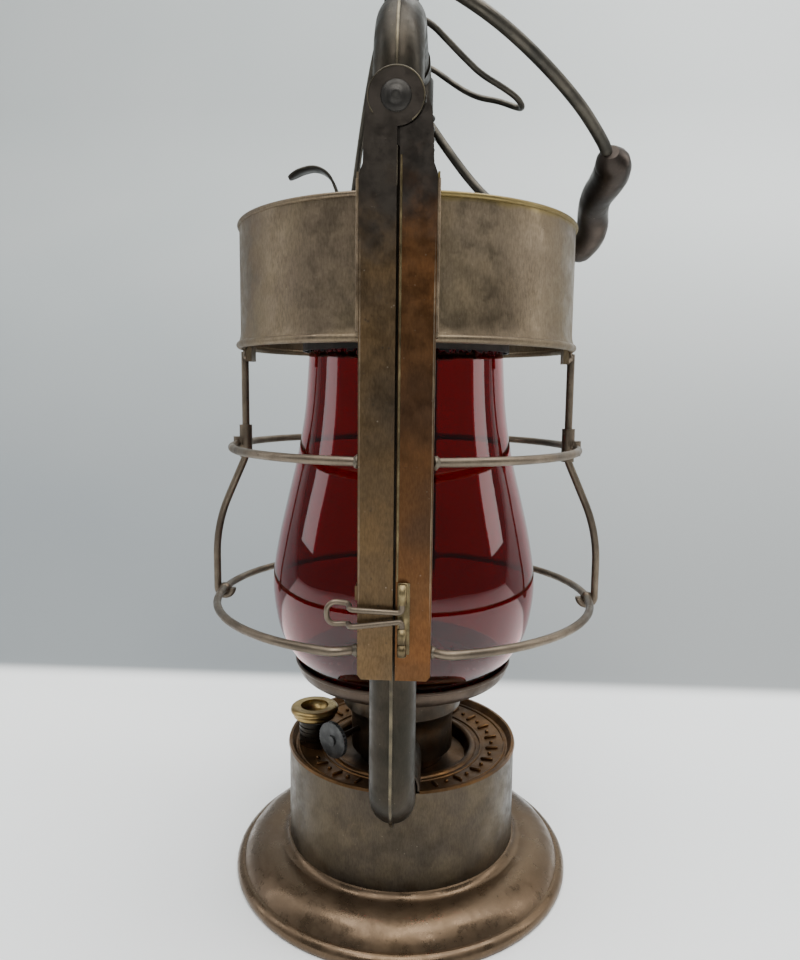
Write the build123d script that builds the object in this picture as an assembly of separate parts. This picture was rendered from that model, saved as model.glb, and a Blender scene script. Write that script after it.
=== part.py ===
"""Tubular hand lantern with a hinged wire guard, a red globe and a swinging bail.

Millimetres. The origin is the middle of the foot, on the plane it stands on. +Z is up. The two
side tubes stand on the Y axis, "near" at -Y and "far" at +Y, and the bail lies dropped to +X.
The left half of the guard (-X) swings about two rivets high on the tubes.
"""
import math
import os

from build123d import *

os.makedirs("parts", exist_ok=True)

# ---- driving dimensions ---------------------------------------------------------------------
SHEET = 0.8            # sheet metal of the turned parts
FIT = 0.06             # radial running clearance of pins and shafts
FOOT_R = 79.0
FOUNT_R = 53.7
FOUNT_TOP_Z = 60.7

TUBE_Y = 70.6          # side tube centre line
TUBE_R = 9.0
TUBE_WALL = 0.6
TUBE_TOP_Z = 361.5     # centre line of the level run over the top
TUBE_BEND_R = 27.0
TUBE_FOOT_Z = 62.5     # centre line where a tube turns into the fount
TUBE_FOOT_BEND_R = 12.0
SEAM = 1.3             # how far the folded seam stands out

PLATE_R = 50.0
PLATE_Z = 94.6
GLOBE_BASE_Z = 95.8
GLOBE_WALL = 2.2

PIVOT_Z = 323.9        # guard hinge
FACE_Y = 82.8          # outer face of the guard channels
CHANNEL_X = 13.4
CHANNEL_SHIFT = 1.0    # the pair of channels sits this far to +X of the tube
CHANNEL_GAP = 0.5
CHANNEL_BASE_Z = 120.9
CHANNEL_SHEET = 0.7
LUG_R = 9.8
RIVET_R = 2.9

HOOD_R = 73.6
HOOD_BASE_Z = 244.6
HOOD_TOP_Z = 295.8
RING_WIRE_R = 1.75
MID_RING_R = 78.1
MID_RING_Z = 200.6
LOW_RING_R = 85.8
LOW_RING_Z = 131.1

BAIL_Z = 374.0         # bail pivot
BAIL_WIRE_R = 2.4
EAR_Y = 58.0
GRIP_R = 7.2

WICK_TURN = 52.0       # plan angle of the wick and its raiser shaft
WICK_T = 2.6
WHEEL_R = 5.0
SHAFT_Z = 69.4
SHAFT_OFFSET = 6.7     # shaft centre line to the middle of the wick
KNOB_REACH = 39.4
NECK_AT = (-41.6, -6.0)
NECK_R = 7.3
LATCH_AT = (4.0, -85.1)
LATCH_WIRE_R = 1.0
SIDES = {"near": -1, "far": 1}


# ---- helpers ----------------------------------------------------------------------------------
def turned(*edges):
    """A closed XZ outline, from its edges in order, turned about Z."""
    return revolve(make_face(Wire(list(edges))), Axis.Z)


def chain(*points):
    """Straight edges through (r, z) points."""
    spots = [(r, 0, z) for r, z in points]
    return [Line(a, b) for a, b in zip(spots, spots[1:])]


def arc(start, middle, end):
    return ThreePointArc(*[(r, 0, z) for r, z in (start, middle, end)])


def ring(outer, inner, low, high):
    """A plain ring on the Z axis."""
    body = Pos(0, 0, (low + high) / 2) * Cylinder(outer, high - low)
    if inner <= 0:
        return body
    return body - Pos(0, 0, (low + high) / 2) * Cylinder(inner, high - low + 2)


def block(x0, x1, y0, y1, z0, z1):
    return Pos((x0 + x1) / 2, (y0 + y1) / 2, (z0 + z1) / 2) * Box(x1 - x0, y1 - y0, z1 - z0)


def rod(start, end, radius):
    """A round bar between two points."""
    a, b = Vector(*start), Vector(*end)
    return Plane(origin=(a + b) * 0.5, z_dir=b - a) * Cylinder(radius, (b - a).length)


def wire_along(points, radii, radius, bore=0.0):
    """Bent wire: straight runs with an arc of its own radius at each corner."""
    path = FilletPolyline(*points, radius=radii)
    start = Plane(origin=path @ 0, z_dir=path % 0)
    section = start * Circle(radius)
    if bore:
        section = section - start * Circle(bore)
    return sweep(section, path=path)


def mirrored(shape, side):
    """The -Y shape as drawn, or its mirror image for the far side."""
    return shape if side < 0 else mirror(shape, Plane.XZ)


def largest(shape):
    return max(shape.solids(), key=lambda s: s.volume)


def save(shape, node):
    solids = shape.solids()
    whole = solids[0] if len(solids) == 1 else Compound(solids)
    export_step(whole, f"parts/{node}.step")


# ---- foot and fount ---------------------------------------------------------------------------
def foot_bell():
    """Spun foot: a low convex dome with a groove and a flat-bottomed rolled edge."""
    def outline(inset):
        return [
            Line((53.85, 0, 16.2 - inset), (54.6, 0, 15.9 - inset)),
            arc((54.6, 15.9 - inset), (56.0, 14.5 - inset), (58.6, 14.1 - inset)),
            arc((58.6, 14.1 - inset), (69.0, 12.2 - inset), (75.4 - inset, 5.6)),
        ]
    dome = turned(
        *outline(0), Line((75.4, 0, 5.6), (74.4, 0, 5.6)),
        *reversed(outline(1.0)), Line((53.85, 0, 15.2), (53.85, 0, 16.2)))
    bead = turned(
        Line((74.4, 0, 5.7), (76.4, 0, 5.7)), arc((76.4, 5.7), (FOOT_R, 3.0), (78.4, 0.0)),
        Line((78.4, 0, 0), (75.6, 0, 0)), Line((75.6, 0, 0), (74.4, 0, 5.7)))
    return dome + bead


def fount_shell():
    wall = ring(FOUNT_R, FOUNT_R - SHEET, 9.0, FOUNT_TOP_Z - 0.6)
    bore = Rot(90, 0, 0) * Cylinder(TUBE_R - TUBE_WALL, 8)
    for side in SIDES.values():
        wall -= Pos(0, side * FOUNT_R, TUBE_FOOT_Z) * bore
    return wall


def duct_space(side):
    """The room that one air duct takes out of the fount's rim."""
    radius = 10.3 + 0.12
    bar = Pos(0, side * 52.0, TUBE_FOOT_Z) * Rot(90, 0, 0) * Cylinder(radius, 6.4)
    below = block(-radius, radius, side * 52.0 - 3.2, side * 52.0 + 3.2, 57.4, TUBE_FOOT_Z)
    above = block(-30, 30, side * 52.0 - 8, side * 52.0 + 8, 57.4, 90)
    return (bar & above) + below


def fount_top():
    """Dished top: rolled rim, marked annulus, raised ring and burner recess."""
    top = [(54.3, 60.1), (53.9, 61.2), (52.6, 61.2), (50.8, 58.6), (36.0, 56.4)]
    inner = [(32.2, 56.2), (30.4, 51.8), (19.8, 51.4), (19.8, 50.6), (31.0, 51.0),
             (33.0, 55.2), (50.9, 57.7), (52.0, 59.0), (52.8, 60.1), (54.3, 60.1)]
    sheet = turned(*chain(*top), arc((36.0, 56.4), (34.2, 57.4), (32.2, 56.2)),
                   *chain((32.2, 56.2), *inner[1:]))
    sheet -= Pos(*NECK_AT, 57) * Cylinder(NECK_R, 12)
    for side in SIDES.values():
        sheet -= duct_space(side)
    return sheet


def under_fount_top():
    """Everything below the fount top's upper surface, to trim what stands on it."""
    return turned(*chain((0, 40), (56, 40), (56, 60.1), (53.9, 61.2), (52.6, 61.2), (50.8, 58.6),
                         (36.0, 56.4), (34.2, 57.4), (32.2, 56.2), (30.4, 51.8), (0, 51.4),
                         (0, 40)))


def fount():
    save(foot_bell(), "foot_bell")
    save(fount_shell(), "fount_shell")
    save(fount_top(), "fount_top")
    inside = FOUNT_R - SHEET - 0.05
    save(ring(inside, 0, 9.6, 10.4) + ring(inside, inside - 1.0, 7.4, 9.7), "fount_bottom")
    tank_top = ring(inside, 19.7, 47.6, 48.4) - Pos(*NECK_AT, 48) * Cylinder(NECK_R, 6)
    save(tank_top, "tank_top")
    save(ring(21.0, 19.7, 48.4, 50.6) + ring(23.5, 19.7, 49.8, 50.6), "burner_collar")


def air_duct(side):
    """Arched cover that carries air from a side tube's foot to the burner."""
    def bar(radius, grow):
        tube = Pos(0, -39.3, TUBE_FOOT_Z) * Rot(90, 0, 0) * Cylinder(radius, 30.6 + grow)
        upper = block(-20, 20, -60 - grow, -10 + grow, TUBE_FOOT_Z, 90)
        legs = block(-radius, radius, -54.6 - grow / 2, -24.0 + grow / 2, 50, TUBE_FOOT_Z)
        return (tube & upper) + legs
    duct = bar(10.3, 0) - bar(9.6, 4)
    duct -= under_fount_top()
    duct -= ring(24.35, 0, 40, 90)
    duct -= ring(60, FOUNT_R + 0.9, 40, 90)
    duct -= ring(60, FOUNT_R - 1.4, 40, 61.6)
    return mirrored(largest(duct), side)


# ---- filler -----------------------------------------------------------------------------------
def filler():
    x, y = NECK_AT
    neck = ring(NECK_R - 0.05, 6.3, 46.5, 69.8)
    for turn in range(4):
        neck -= ring(9, NECK_R - 0.5, 60.4 + 2.2 * turn, 61.2 + 2.2 * turn)
    save(Pos(x, y, 0) * neck, "filler_neck")
    gasket = ring(8.6, 6.5, 70.0, 70.7)
    save(Pos(x, y, 0) * gasket, "filler_gasket")
    cap = turned(
        *chain((0, 71.9), (3.4, 72.1)), arc((3.4, 72.1), (5.6, 73.4), (6.6, 76.2)),
        Line((6.6, 0, 76.2), (9.6, 0, 76.2)), arc((9.6, 76.2), (11.2, 75.2), (11.2, 73.8)),
        *chain((11.2, 73.8), (10.0, 72.9), (10.0, 71.6), (9.2, 70.7), (6.24, 70.7), (6.24, 63.0),
               (5.2, 62.4), (0, 62.4), (0, 71.9)))
    save(Pos(x, y, 0) * cap, "filler_cap")


# ---- burner -----------------------------------------------------------------------------------
def raiser_line(reach):
    """A point on the raiser shaft's centre line, reach outward from beside the wick."""
    turn = math.radians(WICK_TURN)
    return (-SHAFT_OFFSET * math.sin(turn) - reach * math.cos(turn),
            SHAFT_OFFSET * math.cos(turn) - reach * math.sin(turn), SHAFT_Z)


def along_wick(shape):
    return Rot(0, 0, WICK_TURN) * shape


def toothed_wheel(radius, thickness, teeth, depth):
    wheel = Cylinder(radius, thickness)
    for n in range(teeth):
        at = Rot(0, 0, 360.0 / teeth * n) * Pos(radius + depth * 0.2, 0, 0)
        wheel -= at * Rot(0, 0, 45) * Box(depth, depth, thickness + 1)
    return wheel


def on_shaft(reach, shape):
    direction = Vector(*raiser_line(1)) - Vector(*raiser_line(0))
    return Plane(origin=raiser_line(reach), z_dir=direction) * shape


def burner():
    body = turned(
        *chain((19.5, 50.8), (19.5, 56.0), (24.2, 57.2), (24.2, 70.0)),
        arc((24.2, 70.0), (25.2, 75.0), (28.0, 79.0)),
        *chain((28.0, 79.0), (28.0, 93.6), (27.2, 93.6), (27.2, 79.4)),
        arc((27.2, 79.4), (24.3, 75.2), (23.4, 70.0)),
        *chain((23.4, 70.0), (23.4, 57.9), (18.7, 56.8), (18.7, 49.0), (19.5, 49.0), (19.5, 50.8)))
    for side in SIDES.values():
        body -= Pos(0, side * 24, 63.5) * Box(14, 6, 7)
    body -= rod(raiser_line(10), raiser_line(34), 1.1 + FIT)
    save(body, "burner_body")

    tube = Pos(0, 0, 81.0) * Box(18.4, 5.0, 43.0) - Pos(0, 0, 81.0) * Box(17.2, 3.6, 60.0)
    tube = along_wick(tube) - on_shaft(0, Cylinder(WHEEL_R + 0.6, 9.6))
    base = ring(23.4, 0, 59.8, 60.6) - along_wick(Pos(0, 0, 60.2) * Box(17.2, 3.6, 4))
    save(tube + base, "wick_tube")

    wick = along_wick(Pos(0, 0, 77.0) * Box(16.4, WICK_T, 54.0))
    save(wick, "wick")

    dome = turned(
        *chain((24.0, 95.4), (23.2, 96.2)), arc((23.2, 96.2), (16.6, 107.4), (0, 113.2)),
        Line((0, 0, 113.2), (0, 0, 112.4)), arc((0, 112.4), (16.0, 106.8), (22.4, 95.9)),
        *chain((22.4, 95.9), (22.4, 94.7), (24.0, 94.7), (24.0, 95.4)))
    dome -= along_wick(Pos(0, 0, 112) * Box(20.0, 5.4, 12))
    save(dome, "burner_dome")

    save(rod(raiser_line(-9), raiser_line(KNOB_REACH + 1.0), 1.1), "raiser_shaft")
    wheels = []
    for reach in (-3.0, 3.0):
        wheels.append(on_shaft(reach, toothed_wheel(WHEEL_R, 1.2, 12, 1.2) - Cylinder(1.1, 4)))
    save(Compound(wheels), "raiser_wheels")
    knob = toothed_wheel(8.2, 1.8, 36, 0.7) + Pos(0, 0, 1.3) * Cylinder(2.3, 1.0)
    knob -= Pos(0, 0, -0.6) * Cylinder(1.1, 3.2)
    save(on_shaft(KNOB_REACH, knob), "raiser_knob")


def globe_plate():
    """Perforated tray with a flared, rolled lip, which carries the globe."""
    tray = turned(
        *chain((22.0, 93.8), (45.4, 93.8)), arc((45.4, 93.8), (48.6, 96.2), (PLATE_R, 100.4)),
        arc((PLATE_R, 100.4), (PLATE_R + 0.6, 101.6), (PLATE_R - 0.6, 101.8)),
        arc((PLATE_R - 0.6, 101.8), (47.8, 97.2), (45.0, PLATE_Z)),
        *chain((45.0, PLATE_Z), (22.0, PLATE_Z), (22.0, 93.8)))
    for radius, count in ((31.0, 20), (35.0, 24), (39.0, 28)):
        for n in range(count):
            at = Rot(0, 0, 360.0 / count * n) * Pos(radius, 0, PLATE_Z)
            tray -= at * Cylinder(1.1, 6)
    return tray


def globe():
    """Blown globe: narrow seat, full belly low down, long taper to a straight neck."""
    profile = [(43.4, GLOBE_BASE_Z), (49.6, 103.0), (57.0, 115.0), (60.2, 130.0), (60.5, 143.0),
               (58.0, 159.0), (53.9, 177.0), (49.4, 196.0), (46.3, 214.0), (44.6, 232.0),
               (43.6, 250.0), (43.0, 264.0)]
    outer = Spline(*[(r, 0, z) for r, z in profile])
    inner = Spline(*[(r - GLOBE_WALL, 0, z) for r, z in profile])
    bottom = Line(inner @ 0, outer @ 0)
    top = Line(outer @ 1, inner @ 1)
    return revolve(make_face(Wire([outer, top, inner, bottom])), Axis.Z)


# ---- tubes and crown --------------------------------------------------------------------------
def tube_half(side, hand):
    """One half stamping of a side tube, with the folded seam along its outer edge."""
    corners = [(0, -50.0, TUBE_FOOT_Z), (0, -TUBE_Y, TUBE_FOOT_Z), (0, -TUBE_Y, TUBE_TOP_Z),
               (0, -14.0, TUBE_TOP_Z)]
    path = FilletPolyline(*corners, radius=[TUBE_FOOT_BEND_R, TUBE_BEND_R])
    start = Plane(origin=path @ 0, x_dir=(1, 0, 0), z_dir=path % 0)
    annulus = Circle(TUBE_R) - Circle(TUBE_R - TUBE_WALL)
    outward = -1 if (start.y_dir.Z > 0) else 1
    half = annulus & (Pos(hand * 10, 0) * Rectangle(20, 60))
    seam = Pos(hand * 0.35, outward * (TUBE_R + SEAM / 2 - 0.2)) * Rectangle(0.7, SEAM + 0.4)
    stamping = sweep(start * (half + seam), path=path)
    stamping -= ring(FOUNT_R + 0.1, 0, 30, 90)
    stamping -= block(-20, 20, -15.6, 0, TUBE_TOP_Z + TUBE_R + 0.05, 380)
    stamping -= rod((0, -90, PIVOT_Z), (0, -60, PIVOT_Z), RIVET_R)
    return mirrored(largest(stamping), side)


def crown():
    sleeve = Rot(90, 0, 0) * (Cylinder(TUBE_R + 0.7, 31) - Cylinder(TUBE_R + 0.02, 40))
    hollow = Rot(90, 0, 0) * Cylinder(TUBE_R + 0.02, 31)
    socket = Pos(0, 0, -8.0) * Cylinder(10.7, 13.0)
    crown_tube = Pos(0, 0, TUBE_TOP_Z) * (sleeve + (socket - hollow))
    crown_tube -= Pos(0, 0, TUBE_TOP_Z - 8) * Cylinder(10.02, 18)
    save(crown_tube, "crown_tube")
    save(ring(10.0, 9.3, 296.0, 352.6), "draft_tube")
    for name, side in SIDES.items():
        for hand_name, hand in (("left", -1), ("right", 1)):
            save(tube_half(side, hand), f"tube_{name}_{hand_name}")
        save(air_duct(side), f"air_duct_{name}")
        save(bail_ear(side), f"bail_ear_{name}")
        save(hinge_rivet(side), f"hinge_rivet_{name}")


def bail_ear(side):
    """Ear soldered on the shoulder of a tube, with an eye for the bail."""
    outline = make_hull((Pos(0, BAIL_Z) * Circle(5.2)).edges() +
                        (Pos(0, 361.0) * Rectangle(13.0, 2.0)).edges())
    plate = extrude(Plane.XZ.offset(EAR_Y - 0.9) * outline, 1.8)
    plate -= rod((0, -70, BAIL_Z), (0, -40, BAIL_Z), BAIL_WIRE_R + FIT)
    bend = Pos(0, TUBE_BEND_R - TUBE_Y, TUBE_TOP_Z - TUBE_BEND_R) * Rot(0, 90, 0) * Torus(
        TUBE_BEND_R, TUBE_R)
    plate -= bend
    plate -= Pos(0, TUBE_BEND_R - TUBE_Y, TUBE_TOP_Z - TUBE_BEND_R) * Rot(0, 90, 0) * Cylinder(
        TUBE_BEND_R + TUBE_R + SEAM + 0.05, 1.4)
    return mirrored(largest(plate), side)


def hinge_rivet(side):
    pin = rod((0, -TUBE_Y - TUBE_R + TUBE_WALL, PIVOT_Z), (0, -FACE_Y - 0.3, PIVOT_Z), RIVET_R)
    head = rod((0, -FACE_Y - 0.15, PIVOT_Z), (0, -FACE_Y - 1.3, PIVOT_Z), 4.3)
    nub = Pos(0, -FACE_Y - 1.2, PIVOT_Z) * Sphere(2.0)
    return mirrored(pin + head + nub, side)


# ---- dome, lift wire and spring ---------------------------------------------------------------
def dome_group():
    dome = turned(
        *chain((46.6, 243.0), (46.6, 262.0)), arc((46.6, 262.0), (42.0, 274.0), (30.0, 283.0)),
        arc((30.0, 283.0), (17.0, 291.0), (11.4, 301.0)),
        *chain((11.4, 301.0), (11.4, 316.0), (10.4, 316.0), (10.4, 300.6)),
        arc((10.4, 300.6), (16.4, 290.2), (29.6, 282.2)),
        arc((29.6, 282.2), (41.3, 273.5), (45.8, 266.0)),
        *chain((45.8, 266.0), (41.5, 266.0), (41.5, 265.2), (45.8, 265.2), (45.8, 243.0),
               (46.6, 243.0)))
    save(dome, "globe_dome")
    half = [(-25.4, -20, 281.5), (-17.5, -21, 337), (-11.5, -22.2, 371), (-2, -22.6, 377.6),
            (9, -22.4, 374.4), (24, -16.5, 362.5), (39.5, -7.2, 354.4), (47.6, -3.4, 349.8)]
    points = half + [(x, -y, z) for x, y, z in reversed(half)]
    radii = [20, 9, 7, 7, 16, 14, 3.0]
    save(wire_along(points, radii + radii[::-1], 1.3), "lift_wire")
    strip = FilletPolyline((-24, 0, 287.4), (-29.8, 0, 305), (-33.5, 0, 321.5), (-42, 0, 324.4),
                           (-53, 0, 319.6), radius=[9, 5, 9])
    tab = sweep(Plane(origin=strip @ 0, z_dir=strip % 0, x_dir=(0, 1, 0)) * Rectangle(9, 1.4),
                path=strip)
    save(tab, "thumb_tab")
    coil = Helix(pitch=4.4, height=28.0, radius=11.1)
    start = Plane(origin=coil @ 0, z_dir=coil % 0)
    spring = Pos(0, 0, 318.2) * sweep(start * Circle(0.65), path=coil, is_frenet=True)
    save(spring, "dome_spring")


# ---- guard halves -----------------------------------------------------------------------------
def channel_edge(hand, inset=0.0):
    """X of a channel's outer side wall, or of a plane inset towards the middle."""
    return CHANNEL_SHIFT + hand * (CHANNEL_X - inset)


def channel(side, hand):
    """Upright channel of one guard half. The left one ends in the lug that turns on the rivet."""
    gap, wide = CHANNEL_GAP, CHANNEL_X
    face_in = FACE_Y - CHANNEL_SHEET
    middle = CHANNEL_SHIFT

    def slab(points, y_out, y_in):
        outline = make_face(Polyline(*points, close=True))
        return extrude(Plane.XZ.offset(y_in) * outline, y_out - y_in)

    side_line = [(gap, CHANNEL_BASE_Z), (wide - 1.4, CHANNEL_BASE_Z), (wide, CHANNEL_BASE_Z + 1.8),
                 (wide, 299.0), (wide - 1.3, 302.5), (wide - 1.6, 312.0)]
    side_line = [(middle + hand * x, z) for x, z in side_line]
    if hand < 0:
        points = side_line + [(-LUG_R, PIVOT_Z), (middle - gap, PIVOT_Z - 4)]
    else:
        points = side_line + [(12.2, PIVOT_Z - 4), (9.4, PIVOT_Z + 2), (middle + gap, PIVOT_Z)]
    body = slab(points, FACE_Y, face_in)
    hole = rod((0, -90, PIVOT_Z), (0, -60, PIVOT_Z), RIVET_R + (FIT if hand < 0 else 0))
    if hand < 0:
        body += rod((0, -FACE_Y, PIVOT_Z), (0, -face_in, PIVOT_Z), LUG_R)
    else:
        body -= rod((0, -FACE_Y - 1, PIVOT_Z), (0, -face_in + 0.02, PIVOT_Z), LUG_R + 0.6)
        lug = [(-2.0, PIVOT_Z - 14), (12.0, 302), (11.8, PIVOT_Z - 3), (3, PIVOT_Z)]
        back = slab(lug, face_in - 0.18, face_in - 0.88)
        back += rod((0, -face_in + 0.18, PIVOT_Z), (0, -face_in + 0.88, PIVOT_Z), LUG_R + 0.3)
        body += back + slab([(9.4, 303), (11.6, 303), (11.6, 312), (11.0, 312)],
                            face_in + 0.1, face_in - 0.3)
        body += block(1.6, 3.1, -face_in - 0.1, -TUBE_Y - TUBE_R - 0.05, 150, 296)
    walls = channel_edge(hand), channel_edge(hand, CHANNEL_SHEET)
    body += block(*sorted(walls), -FACE_Y, -72.2, CHANNEL_BASE_Z + 1.8, 299.0)
    return mirrored(body - hole, side)


def half_of(shape, hand, start=None):
    """The part of a shape on one hand, from x = start or from the channel's outer side."""
    start = channel_edge(hand, -0.02) if start is None else start
    return shape & block(*sorted((start, hand * 120)), -120, 120, 0, 400)


def hood(hand):
    """Half of the deep band, beaded below and rolled above, with tabs on the channels."""
    band = turned(
        *chain((HOOD_R - 0.8, HOOD_BASE_Z + 1), (HOOD_R + 1.2, HOOD_BASE_Z + 1)),
        arc((HOOD_R + 1.2, HOOD_BASE_Z + 1), (HOOD_R + 0.35, HOOD_BASE_Z + 3.4),
            (HOOD_R, HOOD_BASE_Z + 7)),
        *chain((HOOD_R, HOOD_BASE_Z + 7), (HOOD_R, HOOD_TOP_Z - 1),
               (HOOD_R - 0.8, HOOD_TOP_Z - 1), (HOOD_R - 0.8, HOOD_BASE_Z + 1)))
    band += Pos(0, 0, HOOD_BASE_Z + 0.4) * Torus(HOOD_R + 0.4, 1.6)
    band += Pos(0, 0, HOOD_TOP_Z - 0.6) * Torus(HOOD_R - 0.1, 1.0)
    half = half_of(band, hand)
    for side in SIDES.values():
        tab = block(*sorted((channel_edge(hand, -0.02), channel_edge(hand, -0.8))),
                    -FACE_Y + 0.1, -70.8, HOOD_BASE_Z, 299.6)
        half += mirrored(tab, side)
    clamp = block(*sorted((hand * 70.4, hand * 72.9)), -4, 4, 238.6, HOOD_BASE_Z + 3)
    return half + clamp


def half_ring(radius, height, hand, stop):
    """Half a guard ring. Where stop isn't 0, each end turns in to the channel from x = stop on."""
    if not stop:
        return half_of(Pos(0, 0, height) * Torus(radius, RING_WIRE_R), hand)
    turn = math.degrees(math.acos(stop / radius))
    hoop = CenterArc((0, 0), radius, -turn, 2 * turn)
    inward = JernArc(start=hoop @ 0, tangent=-(hoop % 0), radius=8.0, arc_size=-42)
    heading = inward % 1
    reach = ((inward @ 1).X - abs(channel_edge(hand)) + 0.6) / -heading.X
    leg = Line(inward @ 1, inward @ 1 + heading * reach)
    end = Wire([inward, leg])
    path = Wire([hoop, *end.edges(), *mirror(end, Plane.XZ).edges()])
    start = Plane(origin=leg @ 1, z_dir=-heading)
    half = Pos(0, 0, height) * sweep(start * Circle(RING_WIRE_R), path=path)
    return half_of(half if hand > 0 else mirror(half, Plane.YZ), hand)


def guard_wire(hand):
    """Upright guard wire: straight to the middle ring, kicked out, hooked round the low ring."""
    hook_r = RING_WIRE_R * 2 + 0.05
    x_low = LOW_RING_R + hook_r
    line = FilletPolyline((hand * 74.5, 0, 243.0), (hand * 74.5, 0, 195.5),
                          (hand * x_low, 0, 162.0), (hand * x_low, 0, LOW_RING_Z),
                          radius=[14.0, 70.0])
    eye = ThreePointArc((hand * x_low, 0, LOW_RING_Z), (hand * LOW_RING_R, 0, LOW_RING_Z - hook_r),
                        (hand * (LOW_RING_R - hook_r), 0, LOW_RING_Z))
    path = Wire(list(line.edges()) + [eye])
    start = Plane(origin=(hand * 74.5, 0, 243.0), z_dir=(0, 0, -1))
    return sweep(start * Circle(RING_WIRE_R - 0.05), path=path)


def sleeve(hand):
    """Crimped sleeve that holds the upright wire to the middle ring."""
    tube = rod((hand * 74.6, 0, 194.5), (hand * 74.6, 0, 209.5), 2.9)
    lobe = rod((hand * 77.4, 0, 197.2), (hand * 77.4, 0, 204.0), 3.0)
    body = tube + lobe - Pos(0, 0, MID_RING_Z) * Torus(MID_RING_R, RING_WIRE_R + 0.03)
    return body


def guard_half(hand, hand_name):
    for name, side in SIDES.items():
        save(channel(side, hand), f"channel_{hand_name}_{name}")
    save(hood(hand), f"hood_{hand_name}")
    save(half_ring(MID_RING_R, MID_RING_Z, hand, 0), f"ring_mid_{hand_name}")
    save(half_ring(LOW_RING_R, LOW_RING_Z, hand, 24.0), f"ring_low_{hand_name}")
    wire = guard_wire(hand)
    save(wire, f"guard_wire_{hand_name}")
    save(sleeve(hand) - wire, f"guard_sleeve_{hand_name}")


# ---- latch ------------------------------------------------------------------------------------
def latch():
    x, y = LATCH_AT
    plate = block(x - 2.1, x + 3.9, -FACE_Y - 0.5, -FACE_Y, 130.9, 157.7)
    knuckles = block(x - 2.1, x + 2.1, y - 1.8, -FACE_Y - 0.3, 130.9, 157.7)
    bracket = plate + knuckles - block(x - 4, x + 2.2, -90, -FACE_Y - 0.5, 141.3, 150.1)
    bracket -= Pos(x, y, 143) * Cylinder(LATCH_WIRE_R + FIT, 40)
    save(bracket, "latch_bracket")
    back = y + 5.5
    points = [(x, y, 155.5), (x, y, 147.1), (-15.0, y, 147.8), (-15.8, back, 148.6),
              (-24.0, back - 0.6, 149.6), (-24.0, back - 0.6, 140.6), (-15.8, back, 141.0),
              (-15.0, y, 141.3), (x, y, 143.9), (x, y, 133.1)]
    save(wire_along(points, [1.5, 2.1, 1.7, 3.6, 3.6, 1.7, 2.1, 1.2], LATCH_WIRE_R), "latch_wire")
    edge = channel_edge(-1)
    catch = block(edge - 0.9, edge - 0.02, -FACE_Y, -FACE_Y + 5.4, 150.8, 156.0)
    save(catch, "latch_catch")


# ---- bail -------------------------------------------------------------------------------------
def bail():
    """Heavy wire bail, bent out of true, through a hollow grip."""
    points = [(0, -54.0, BAIL_Z), (0, -68.0, BAIL_Z), (34, -67, 353.5), (66, -50, 333),
              (81.5, -33, 318.5), (82.8, 4, 307), (78.5, 33, 292), (62, 52, 301), (33, 64, 330),
              (0, 68.0, BAIL_Z), (0, 54.0, BAIL_Z)]
    radii = [5.5, 30, 18, 12, 20, 9, 12, 30, 5.5]
    save(wire_along(points, radii, BAIL_WIRE_R), "bail_wire")
    grip_points = [(81.37, -28.6, 317.4), (82.8, 4, 307), (79.5, 26.6, 295.5)]
    grip = wire_along(grip_points, [20], GRIP_R, BAIL_WIRE_R + 0.02)
    save(grip, "bail_grip")


fount()
filler()
burner()
save(globe_plate(), "globe_plate")
save(globe(), "globe")
crown()
dome_group()
guard_half(-1, "left")
guard_half(1, "right")
latch()
bail()
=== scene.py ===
"""Looks for the tubular hand lantern: camera, light, worn metals, ruby glass and fine detail.

Blender's units are metres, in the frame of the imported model. Points and sizes of the pieces are
written in millimetres, and MM turns them into metres.
"""
import math

import bmesh
import bpy
from mathutils import Matrix, Vector, noise


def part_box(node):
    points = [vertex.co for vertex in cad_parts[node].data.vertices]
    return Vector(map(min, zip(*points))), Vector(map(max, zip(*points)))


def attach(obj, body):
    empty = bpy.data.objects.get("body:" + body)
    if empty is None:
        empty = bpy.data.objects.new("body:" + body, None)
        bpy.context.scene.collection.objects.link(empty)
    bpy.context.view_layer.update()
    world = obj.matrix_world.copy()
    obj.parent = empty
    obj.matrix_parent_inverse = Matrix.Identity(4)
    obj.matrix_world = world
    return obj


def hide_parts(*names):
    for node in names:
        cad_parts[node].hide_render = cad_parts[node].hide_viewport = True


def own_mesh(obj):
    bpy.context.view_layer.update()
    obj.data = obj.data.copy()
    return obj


MM = 0.001
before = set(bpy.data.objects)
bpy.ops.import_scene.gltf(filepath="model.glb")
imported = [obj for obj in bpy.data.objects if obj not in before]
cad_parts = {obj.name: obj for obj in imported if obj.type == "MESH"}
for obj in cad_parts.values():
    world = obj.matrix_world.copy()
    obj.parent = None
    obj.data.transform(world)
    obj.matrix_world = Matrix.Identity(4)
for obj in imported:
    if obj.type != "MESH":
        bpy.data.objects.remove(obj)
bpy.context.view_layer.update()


# ---- camera, floor and light --------------------------------------------------------------------
CAMERA_AT = Vector((17.81, -343.68, 227.25)) * MM
CAMERA_YAW = 0.0580
CAMERA_PITCH = 0.1231
CAMERA_ROLL = 0.0105
CAMERA_LENS = 33.5

# The stage, in metres and degrees. The slope starts where the photograph's wall meets its floor.
SLOPE_Y = 0.205
STAGE_FRONT = 1.4
STAGE_HALF = 1.7
SLOPE_ANGLE = 40
SLOPE_LENGTH = 0.75
WALL_LENGTH = 1.3
FOOT_BEND, FOOT_STEP = 0.012, 0.003
TOP_STEP = 0.05


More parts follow.
